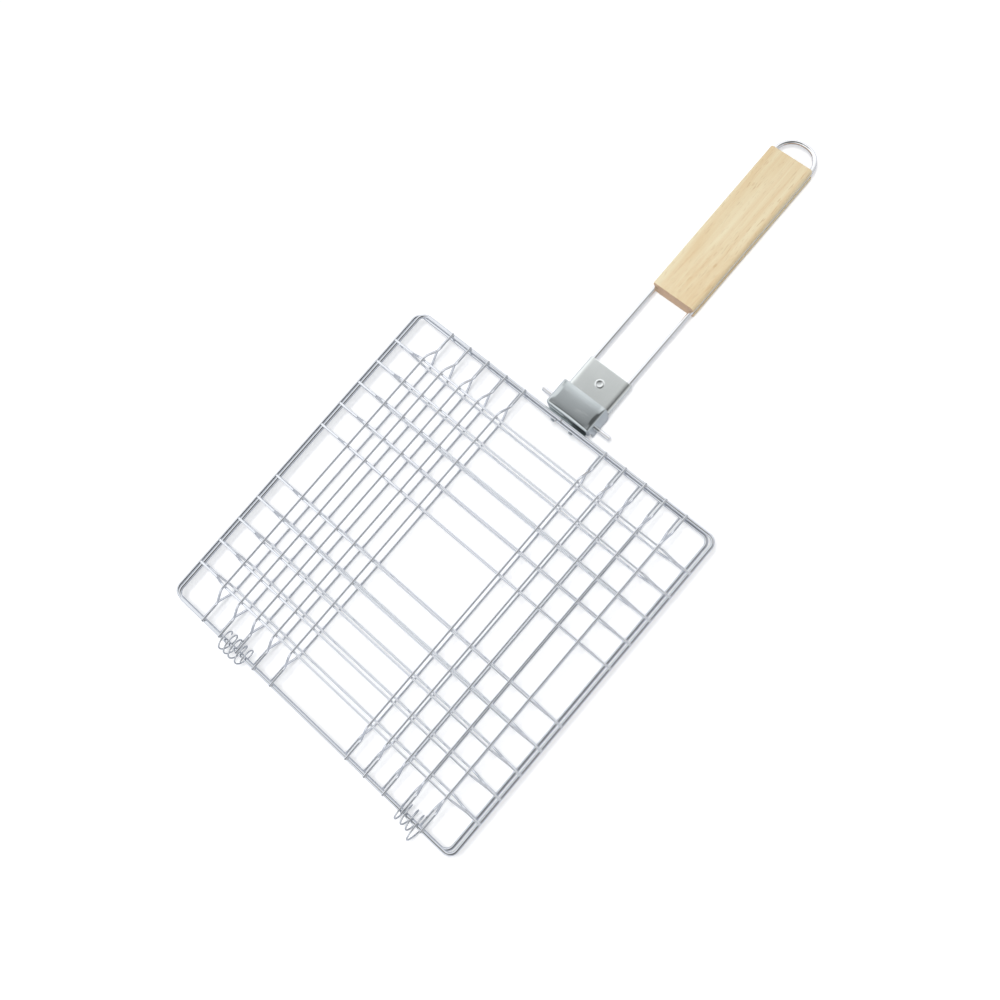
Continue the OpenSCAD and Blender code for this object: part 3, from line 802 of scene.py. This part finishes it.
def bracket_mesh():
    """One sheet folded down on three sides: the top, two side walls and a front down to the shelf."""
    low = Vector((bracket_low.x, BRACKET_FRONT, bracket_low.z))
    form = box_form(low, bracket_high)
    open_faces = [f for f in form.faces if f.normal.y > 0.5 or f.normal.z < -0.5]
    bmesh.ops.delete(form, geom=open_faces, context="FACES")
    folds = [e for e in form.edges if not e.is_boundary]
    bmesh.ops.bevel(form, geom=folds, offset=FOLD_R, segments=8, profile=0.5, affect="EDGES")
    # Rows across the top let it be pressed a little crowned, as stamped sheet is
    half_x, half_y = bracket_high.x - bracket_x, BRACKET_DEPTH / 2
    middle_x, middle_y = Vector((bracket_x, 0, 0)), Vector((0, BRACKET_FRONT + half_y, 0))
    for k in range(-4, 5):
        for centre, half, normal in ((middle_x, half_x, Vector((1, 0, 0))), (middle_y, half_y, Vector((0, 1, 0)))):
            split(form, centre + normal * half * CROWN_STEP * k, normal)
    for vert in form.verts:
        if vert.co.z > bracket_high.z - 0.01 * MM:
            across = (vert.co.x - bracket_x) / half_x
            along = (vert.co.y - BRACKET_FRONT - half_y) / half_y
            vert.co.z += CROWN * (max(0.0, 1 - across ** 2) + max(0.0, 1 - along ** 2) - 1) / 2
    # The front is open below the shelf
    cut_y = BRACKET_FRONT + SHEET_T + FOLD_R
    shelf_bottom = shelf_top - SHEET_T
    for plane, normal in (((0, 0, shelf_bottom), (0, 0, 1)), ((0, cut_y, 0), (0, 1, 0))):
        split(form, plane, normal)
    below = [
        f for f in form.faces
        if f.calc_center_median().z < shelf_bottom and f.calc_center_median().y < cut_y
    ]
    bmesh.ops.delete(form, geom=below, context="FACES")
    mesh = mesh_of(form)
    # Outward normals, so that the thickness goes inside
    mesh = with_modifiers(mesh, ("SOLIDIFY", {"thickness": SHEET_T, "offset": -1.0, "use_even_offset": True}))
    # Round holes for the pins, and a rounded corner on each side wall
    cutters = []
    corner_y, corner_z = bracket_high.y - CORNER_R, bracket_low.z + CORNER_R
    reach = 3 * MM
    for side in (-1, 1):
        wall_x = bracket_x + side * (bracket_high.x - bracket_x)
        cutters.append(rod((wall_x - reach, pin_y, pin_z), (wall_x + reach, pin_y, pin_z), PIN_HOLE_R))
        steps = [
            (corner_y + CORNER_R * math.sin(a), corner_z - CORNER_R * math.cos(a))
            for a in (math.pi / 2 * k / 10 for k in range(11))
        ]
        outline = [
            *steps, (bracket_high.y + reach, corner_z),
            (bracket_high.y + reach, bracket_low.z - reach), (corner_y, bracket_low.z - reach),
        ]
        cutters.append(plate_along_x(outline, wall_x - reach, wall_x + reach))
    mesh = cut_by(mesh, *cutters)
    return with_modifiers(mesh, eased(0.34 * MM, 3))


def shelf_mesh():
    """The shelf goes forward under the lower frame wire, and two tabs curl up on the far side."""
    inner_r = frame_wire_r + 0.03 * MM
    outer_r = inner_r + SHEET_T
    back_y = BRACKET_FRONT + SHEET_T
    shelf_bottom = shelf_top - SHEET_T
    shelf = [(back_y, shelf_bottom), (lower_frame_y, shelf_bottom), (lower_frame_y, shelf_top), (back_y, shelf_top)]
    angles = [-math.pi / 2 - (math.pi / 2 + math.asin(0.6)) * k / 14 for k in range(15)]
    inner = [(lower_frame_y + inner_r * math.cos(a), hinge_z + inner_r * math.sin(a)) for a in angles]
    outer = [(lower_frame_y + outer_r * math.cos(a), hinge_z + outer_r * math.sin(a)) for a in angles]
    tab = [*outer, *reversed(inner)]
    parts = [plate_along_x(shelf, bracket_x - shelf_half, bracket_x + shelf_half)]
    for side in (-1, 1):
        tab_x = bracket_x + side * TAB_SPREAD / 2
        parts.append(plate_along_x(tab, tab_x - TAB_W / 2, tab_x + TAB_W / 2))
    return with_modifiers(joined(parts), eased(0.15 * MM, 2))


place_piece("bracket_sheet", bracket_mesh(), "basket", bracket_finish, ["handle_bracket"], 30)
place_piece("bracket_shelf", shelf_mesh(), "basket", bracket_finish, sharp_angle=30)


# ---- Handle wire and grip ----

handle_x = (wire_low.x + wire_high.x) / 2
loop_y = wire_high.y - handle_wire_r
pin_reach = wire_high.x - handle_x
loop_r = LEG_X - 1 * MM
corners = [
    Vector((handle_x - pin_reach, pin_y, pin_z)), Vector((handle_x - LEG_X, pin_y, pin_z)),
    Vector((handle_x - LEG_X, loop_y, pin_z)), Vector((handle_x + LEG_X, loop_y, pin_z)),
    Vector((handle_x + LEG_X, pin_y, pin_z)), Vector((handle_x + pin_reach, pin_y, pin_z)),
]
bent = rounded_path(corners, [0, PIN_BEND_R, loop_r, loop_r, PIN_BEND_R, 0], steps=20)
bent = tube(bent, handle_wire_r, 32, end_round=0.35 * MM)
place_piece("handle_bent_wire", bent, "handle", handle_finish, ["handle_wire"])

grip_low, grip_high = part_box("wooden_grip")


def grip_mesh():
    """A flat bar with rounded long edges and a groove along each side for a leg of the wire."""
    form = box_form(grip_low, grip_high)
    long_edges = [e for e in form.edges if abs((e.verts[0].co - e.verts[1].co).y) > 0.05]
    bmesh.ops.bevel(form, geom=long_edges, offset=2.6 * MM, segments=8, profile=0.5, affect="EDGES")
    mesh = mesh_of(form)
    groove_r = handle_wire_r + 0.05 * MM
    reach = 4 * MM
    for side in (-1, 1):
        outline = [(math.cos(a), math.sin(a)) for a in (math.pi / 2 + math.pi * k / 24 for k in range(25))]
        points = [(handle_x + side * (LEG_X + x * groove_r), pin_z + z * groove_r) for x, z in outline]
        outer_x = handle_x + side * (LEG_X + 3 * groove_r)
        points = [(outer_x, pin_z + groove_r), *points, (outer_x, pin_z - groove_r)]
        form = bmesh.new()
        near = [form.verts.new((x, grip_low.y - reach, z)) for x, z in points]
        far = [form.verts.new((x, grip_high.y + reach, z)) for x, z in points]
        form.faces.new(near)
        form.faces.new(far)
        for i in range(len(points)):
            j = (i + 1) % len(points)
            form.faces.new((near[i], near[j], far[j], far[i]))
        mesh = cut_by(mesh, mesh_of(form))
    return with_modifiers(mesh, eased(0.6 * MM, 4))


grip_finish = beech((grip_low + grip_high) / 2)
place_piece("beech_grip", grip_mesh(), "handle", grip_finish, ["wooden_grip"], 32)


# ---- Lock sleeve and rivet ----

sleeve_low, sleeve_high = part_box("lock_sleeve")
plate_z = sleeve_high.z - SLEEVE_T / 2
roll_r = sleeve_high.z - pin_z - SLEEVE_T / 2
TONGUE_L = 11 * MM
ROLLED_START = sleeve_low.y + TONGUE_L
RIVET_HOLE_R = 1.65 * MM
rivet_low, rivet_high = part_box("sleeve_rivet")
rivet_place = (rivet_low + rivet_high) / 2


def sleeve_mesh():
    """One sheet over both legs, rolled half way round each, with a flat tongue in front."""
    plate = [(handle_x - LEG_X + 2 * LEG_X * k / 12, plate_z) for k in range(13)]
    right = [
        (handle_x + LEG_X + roll_r * math.sin(a), pin_z + roll_r * math.cos(a))
        for a in (math.pi * k / 16 for k in range(1, 17))
    ]
    left = [(2 * handle_x - x, z) for x, z in reversed(right)]
    columns = left + plate + right
    # Rows close to the edges keep the shading of the plate flat
    margin = 0.7 * MM
    rows = [
        sleeve_low.y, sleeve_low.y + margin,
        ROLLED_START, ROLLED_START + margin,
        sleeve_high.y - margin, sleeve_high.y,
    ]
    form = bmesh.new()
    grid = [[form.verts.new((x, y, z)) for x, z in columns] for y in rows]
    first, last = len(left), len(left) + len(plate) - 1
    for r in range(len(rows) - 1):
        for c in range(len(columns) - 1):
            if r < 2 and not first <= c < last:
                continue
            form.faces.new((grid[r][c], grid[r][c + 1], grid[r + 1][c + 1], grid[r + 1][c]))
    bmesh.ops.delete(form, geom=[v for v in form.verts if not v.link_faces], context="VERTS")
    mesh = mesh_of(form)
    mesh = with_modifiers(mesh, ("SOLIDIFY", {"thickness": SLEEVE_T, "offset": 0.0, "use_even_offset": True}))
    mesh = with_modifiers(mesh, eased(0.16 * MM, 2))
    x, y = rivet_place.x, rivet_place.y
    return cut_by(mesh, rod((x, y, plate_z - 3 * MM), (x, y, plate_z + 3 * MM), RIVET_HOLE_R))


def rivet_mesh():
    """Turned rivet: a foot below the plate, a neck in its hole and a flat head with a shallow dish."""
    top = sleeve_high.z
    base = rivet_low.z
    profile = [
        (0, base), (2.0, base), (2.3, base + 0.15 * MM),
        (2.3, top - SLEEVE_T - 0.02 * MM), (1.6, top - SLEEVE_T - 0.01 * MM),
        (1.6, top), (3.85, top), (4.0, top + 0.08 * MM), (3.8, top + 0.22 * MM), (3.35, top + 0.34 * MM),
        (2.9, top + 0.38 * MM), (2.4, top + 0.34 * MM), (1.9, top + 0.27 * MM), (1.4, top + 0.22 * MM),
        (0.8, top + 0.2 * MM), (0, top + 0.19 * MM),
    ]
    profile = [(radius * MM, height) for radius, height in profile]
    return turned(profile, (rivet_place.x, rivet_place.y))


place_piece("sleeve_sheet", sleeve_mesh(), "sleeve", sleeve_finish, ["lock_sleeve"], 30)
place_piece("sleeve_rivet_head", rivet_mesh(), "sleeve", rivet_finish, ["sleeve_rivet"], 50)


# ---- Floor, light and camera ----

def floor_finish():
    """Matt white, kept white where nothing shades it."""
    material, graph = new_material("white_floor")
    rays = graph.add("ShaderNodeLightPath", output="Is Camera Ray")
    glossy = graph.add("ShaderNodeLightPath", output="Is Glossy Ray")
    # Darker and bluer where the metal mirrors it: painted shade, the shaded floor that the metal reflects
    colour = graph.colour_mix(glossy, rgb(0.85, 0.85, 0.86), rgb(0.77, 0.795, 0.86))
    matt = graph.add("ShaderNodeBsdfDiffuse", None, {"Color": colour})
    # The floor fades into the white room with distance
    from_middle = graph.add("ShaderNodeVectorMath", {"operation": "LENGTH"}, {0: graph.object_place()}, 1)
    strength = rays * (from_middle.between(0.5, 2.0) * 0.7 + 0.37)
    glow = graph.add("ShaderNodeEmission", None, {"Color": rgb(0.96, 0.98, 1.0), "Strength": strength})
    top = graph.add("ShaderNodeAddShader", None, {0: matt, 1: glow})
    # Clear from below, so that the underside of the object can be seen
    below = graph.add("ShaderNodeNewGeometry", output="Backfacing")
    clear = graph.add("ShaderNodeBsdfTransparent")
    shader = graph.add("ShaderNodeMixShader", None, {0: below, 1: top, 2: clear})
    finish_material(graph, shader)
    return material


form = bmesh.new()
bmesh.ops.create_grid(form, x_segments=1, y_segments=1, size=6.0)
floor = link("floor", mesh_of(form))
floor.data.materials.append(floor_finish())
floor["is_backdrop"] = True


def build_world():
    """Soft white room: bright on the left and behind, dim in a patch overhead and to the right of it."""
    world = bpy.data.worlds.new("room")
    world.use_nodes = True
    world.node_tree.nodes.clear()
    graph = Graph(world.node_tree)
    direction = graph.add("ShaderNodeTexCoord", output="Generated")
    x, y, z = (graph.add("ShaderNodeSeparateXYZ", None, {0: direction}, k) for k in range(3))
    white = 1.25
    # The overhead patch darkens from back to front and from left to right
    patch = 0.22 + y.between(-0.03, 0.075) * 0.07 + y.between(0.075, 0.14) * 0.30
    patch = patch + y.between(0.14, 0.20) * 0.08 + y.between(0.20, 0.28) * 0.55
    patch = patch + (1 - x.between(-0.41, -0.35)) * (white - patch)
    patch = patch * (1 - x.between(-0.30, -0.20) * 0.25)
    beside = x.between(-0.21, -0.165)
    patch = patch * (1 - beside * 0.66 * (1 - y.between(0.25, 0.42)))
    reach = y.between(-0.42, -0.25) * (1 - beside) + y.between(-0.65, -0.45) * beside
    overhead = reach * (1 - x.between(0.38, 0.78)) * (1 - y.between(0.38, 0.60)) * z.between(0.25, 0.55)
    right = x.between(0.15, 0.45) * z.between(0.03, 0.12)
    level = white - (white - patch) * overhead - right * 0.55 * (1 - overhead)
    # The key lamp gives the rest of the light on matt surfaces
    diffuse_ray = graph.add("ShaderNodeLightPath", output="Is Diffuse Ray")
    level = level * (1 - diffuse_ray * 0.50)
    camera_ray = graph.add("ShaderNodeLightPath", output="Is Camera Ray")
    level = level * (1 - camera_ray) + camera_ray
    background = graph.add("ShaderNodeBackground", None, {"Color": rgb(0.97, 0.98, 1.0), "Strength": level})
    graph.add("ShaderNodeOutputWorld", None, {"Surface": background})
    bpy.context.scene.world = world


def soft_lamp(name, place, aim, width, length, power, colour=(1, 1, 1), glossy=False):
    lamp = bpy.data.lights.new(name, "AREA")
    lamp.shape = "RECTANGLE"
    lamp.size = width
    lamp.size_y = length
    lamp.energy = power
    lamp.color = colour
    lamp_object = bpy.data.objects.new(name, lamp)
    bpy.context.scene.collection.objects.link(lamp_object)
    lamp_object.location = place
    lamp_object.rotation_euler = (Vector(aim) - Vector(place)).to_track_quat("-Z", "Y").to_euler()
    lamp_object.visible_glossy = glossy
    return lamp_object


build_world()
soft_lamp("key_softbox", (0.10, -0.13, 1.6), (0.10, -0.13, 0), 0.36, 0.56, 13.5, (1.0, 0.99, 0.97))

camera_data = bpy.data.cameras.new("camera")
camera_data.sensor_width = 36.0
camera_data.lens = 39.42
camera_data.clip_start = 0.01
camera = bpy.data.objects.new("camera", camera_data)
bpy.context.scene.collection.objects.link(camera)
CAMERA_RIGHT = Vector((0.73922, 0.64980, -0.17697))
CAMERA_UP = Vector((-0.60767, 0.75684, 0.24068))
CAMERA_BACK = Vector((0.29033, -0.07039, 0.95433))
CAMERA_PLACE = Vector((0.2491, -0.1331, 0.8194))
camera_turn = Matrix((CAMERA_RIGHT, CAMERA_UP, CAMERA_BACK)).transposed().to_4x4()
camera.matrix_world = Matrix.Translation(CAMERA_PLACE) @ camera_turn
bpy.context.scene.camera = camera
bpy.context.scene.view_settings.view_transform = "Standard"

low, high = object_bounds()
